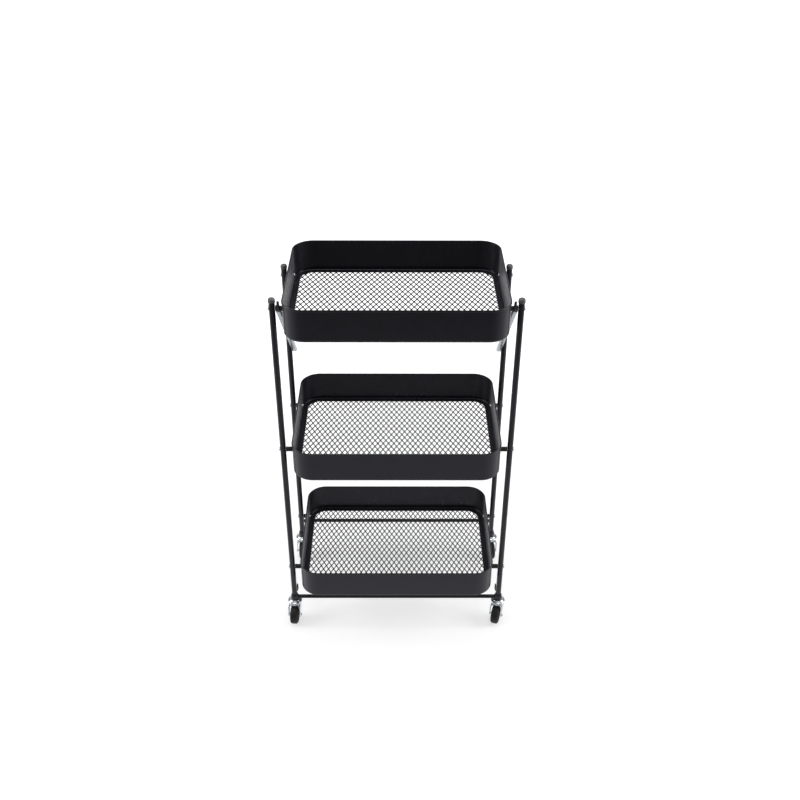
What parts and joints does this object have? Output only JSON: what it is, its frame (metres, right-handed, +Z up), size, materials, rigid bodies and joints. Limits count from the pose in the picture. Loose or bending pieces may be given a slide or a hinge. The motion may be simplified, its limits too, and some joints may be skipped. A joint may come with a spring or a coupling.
{
  "type": "folding shelf cart",
  "caption": "Folding metal shelf cart on swivel casters: round-cornered trays with diamond mesh floors pinned between two tube leg frames, held open by hooked side stays.",
  "frame": {"origin": "on the floor under the middle of the cart's bounding box, which is midway between the four legs", "axes": "+Z up, +Y to the back, +X to the right seen from the front"},
  "size_m": [0.462, 0.2814, 0.769],
  "materials": {
    "powder_coat_black": "satin black powder coat on steel",
    "mesh_black": "satin black powder coat on expanded metal",
    "cap_grey": "matt dark grey moulded plastic",
    "plastic_black": "matt black moulded plastic",
    "zinc_plate": "bright zinc-plated steel",
    "wheel_black": "moulded black plastic wheel with a slightly soft tread"
  },
  "bodies": {
    "front_frame": {"front_leg_left": "powder_coat_black", "front_leg_right": "powder_coat_black", "front_base_bar": "powder_coat_black", "front_cap_left": "cap_grey", "front_cap_right": "cap_grey", "fold_clip_left": "plastic_black", "fold_clip_right": "plastic_black", "spacer_front_bottom_left": "plastic_black", "spacer_front_bottom_right": "plastic_black", "spacer_front_middle_left": "plastic_black", "spacer_front_middle_right": "plastic_black", "spacer_front_top_left": "plastic_black", "spacer_front_top_right": "plastic_black", "rivet_front_bottom_left": "zinc_plate", "rivet_front_bottom_right": "zinc_plate", "rivet_front_middle_left": "zinc_plate", "rivet_front_middle_right": "zinc_plate", "rivet_front_top_left": "zinc_plate", "rivet_front_top_right": "zinc_plate", "caster_front_left_mount": "zinc_plate", "caster_front_right_mount": "zinc_plate"},
    "rear_frame": {"rear_frame": "powder_coat_black", "rear_socket_left": "powder_coat_black", "rear_socket_right": "powder_coat_black", "rear_cap_left": "cap_grey", "rear_cap_right": "cap_grey", "spacer_rear_bottom_left": "plastic_black", "spacer_rear_bottom_right": "plastic_black", "spacer_rear_middle_left": "plastic_black", "spacer_rear_middle_right": "plastic_black", "spacer_rear_top_left": "plastic_black", "spacer_rear_top_right": "plastic_black", "rivet_rear_bottom_left": "zinc_plate", "rivet_rear_bottom_right": "zinc_plate", "rivet_rear_middle_left": "zinc_plate", "rivet_rear_middle_right": "zinc_plate", "rivet_rear_top_left": "zinc_plate", "rivet_rear_top_right": "zinc_plate", "caster_rear_left_mount": "zinc_plate", "caster_rear_right_mount": "zinc_plate"},
    "tray_bottom": {"tray_bottom": "powder_coat_black", "mesh_floor_bottom": "mesh_black"},
    "tray_middle": {"tray_middle": "powder_coat_black", "mesh_floor_middle": "mesh_black"},
    "tray_top": {"tray_top": "powder_coat_black", "mesh_floor_top": "mesh_black"},
    "stay_left": {"lock_stay_left": "zinc_plate"},
    "stay_right": {"lock_stay_right": "zinc_plate"},
    "swivel_front_left": {"caster_front_left_fork": "zinc_plate", "caster_front_left_axle": "zinc_plate"},
    "wheel_front_left": {"caster_front_left_wheel": "wheel_black"},
    "swivel_front_right": {"caster_front_right_fork": "zinc_plate", "caster_front_right_axle": "zinc_plate"},
    "wheel_front_right": {"caster_front_right_wheel": "wheel_black"},
    "swivel_rear_left": {"caster_rear_left_fork": "zinc_plate", "caster_rear_left_axle": "zinc_plate"},
    "wheel_rear_left": {"caster_rear_left_wheel": "wheel_black"},
    "swivel_rear_right": {"caster_rear_right_fork": "zinc_plate", "caster_rear_right_axle": "zinc_plate"},
    "wheel_rear_right": {"caster_rear_right_wheel": "wheel_black"}
  },
  "joints": [
    {"name": "fold", "type": "hinge", "parent": "front_frame", "child": "tray_top", "pos_m": [0, -0.0995, 0.749], "axis": [1, 0, 0], "range_deg": [0, 86]},
    {"name": "tray_middle_hinge", "type": "hinge", "parent": "front_frame", "child": "tray_middle", "pos_m": [0, -0.0995, 0.4472], "axis": [1, 0, 0], "range_deg": [0, 86]},
    {"name": "tray_bottom_hinge", "type": "hinge", "parent": "front_frame", "child": "tray_bottom", "pos_m": [0, -0.0995, 0.1454], "axis": [1, 0, 0], "range_deg": [0, 86]},
    {"name": "rear_frame_hinge", "type": "hinge", "parent": "tray_top", "child": "rear_frame", "pos_m": [0, 0.0995, 0.714], "axis": [1, 0, 0], "range_deg": [-86, 0]},
    {"name": "stay_left_swing", "type": "hinge", "parent": "front_frame", "child": "stay_left", "pos_m": [-0.2052, -0.0995, 0.749], "axis": [1, 0, 0], "range_deg": [-45, 0], "stiffness_Nm_per_rad": 1},
    {"name": "stay_right_swing", "type": "hinge", "parent": "front_frame", "child": "stay_right", "pos_m": [0.2052, -0.0995, 0.749], "axis": [1, 0, 0], "range_deg": [-45, 0], "stiffness_Nm_per_rad": 1},
    {"name": "swivel_front_left", "type": "hinge", "parent": "front_frame", "child": "swivel_front_left", "pos_m": [-0.215, -0.0995, 0.045], "axis": [0, 0, 1], "continuous": true},
    {"name": "spin_front_left", "type": "hinge", "parent": "swivel_front_left", "child": "wheel_front_left", "pos_m": [-0.21598, -0.11347, 0.02], "axis": [0.9976, -0.0698, 0], "continuous": true},
    {"name": "swivel_front_right", "type": "hinge", "parent": "front_frame", "child": "swivel_front_right", "pos_m": [0.215, -0.0995, 0.045], "axis": [0, 0, 1], "continuous": true},
    {"name": "spin_front_right", "type": "hinge", "parent": "swivel_front_right", "child": "wheel_front_right", "pos_m": [0.21091, -0.11289, 0.02], "axis": [0.9563, -0.2924, 0], "continuous": true},
    {"name": "swivel_rear_left", "type": "hinge", "parent": "rear_frame", "child": "swivel_rear_left", "pos_m": [-0.215, 0.0995, 0.045], "axis": [0, 0, 1], "continuous": true},
    {"name": "spin_rear_left", "type": "hinge", "parent": "swivel_rear_left", "child": "wheel_rear_left", "pos_m": [-0.21451, 0.08551, 0.02], "axis": [0.9994, 0.0349, 0], "continuous": true},
    {"name": "swivel_rear_right", "type": "hinge", "parent": "rear_frame", "child": "swivel_rear_right", "pos_m": [0.215, 0.0995, 0.045], "axis": [0, 0, 1], "continuous": true},
    {"name": "spin_rear_right", "type": "hinge", "parent": "swivel_rear_right", "child": "wheel_rear_right", "pos_m": [0.21598, 0.08553, 0.02], "axis": [0.9976, 0.0698, 0], "continuous": true}
  ],
  "couplings": [
    {"joint": "tray_middle_hinge", "follows": "fold", "ratio": 1},
    {"joint": "tray_bottom_hinge", "follows": "fold", "ratio": 1},
    {"joint": "rear_frame_hinge", "follows": "fold", "ratio": -1}
  ]
}
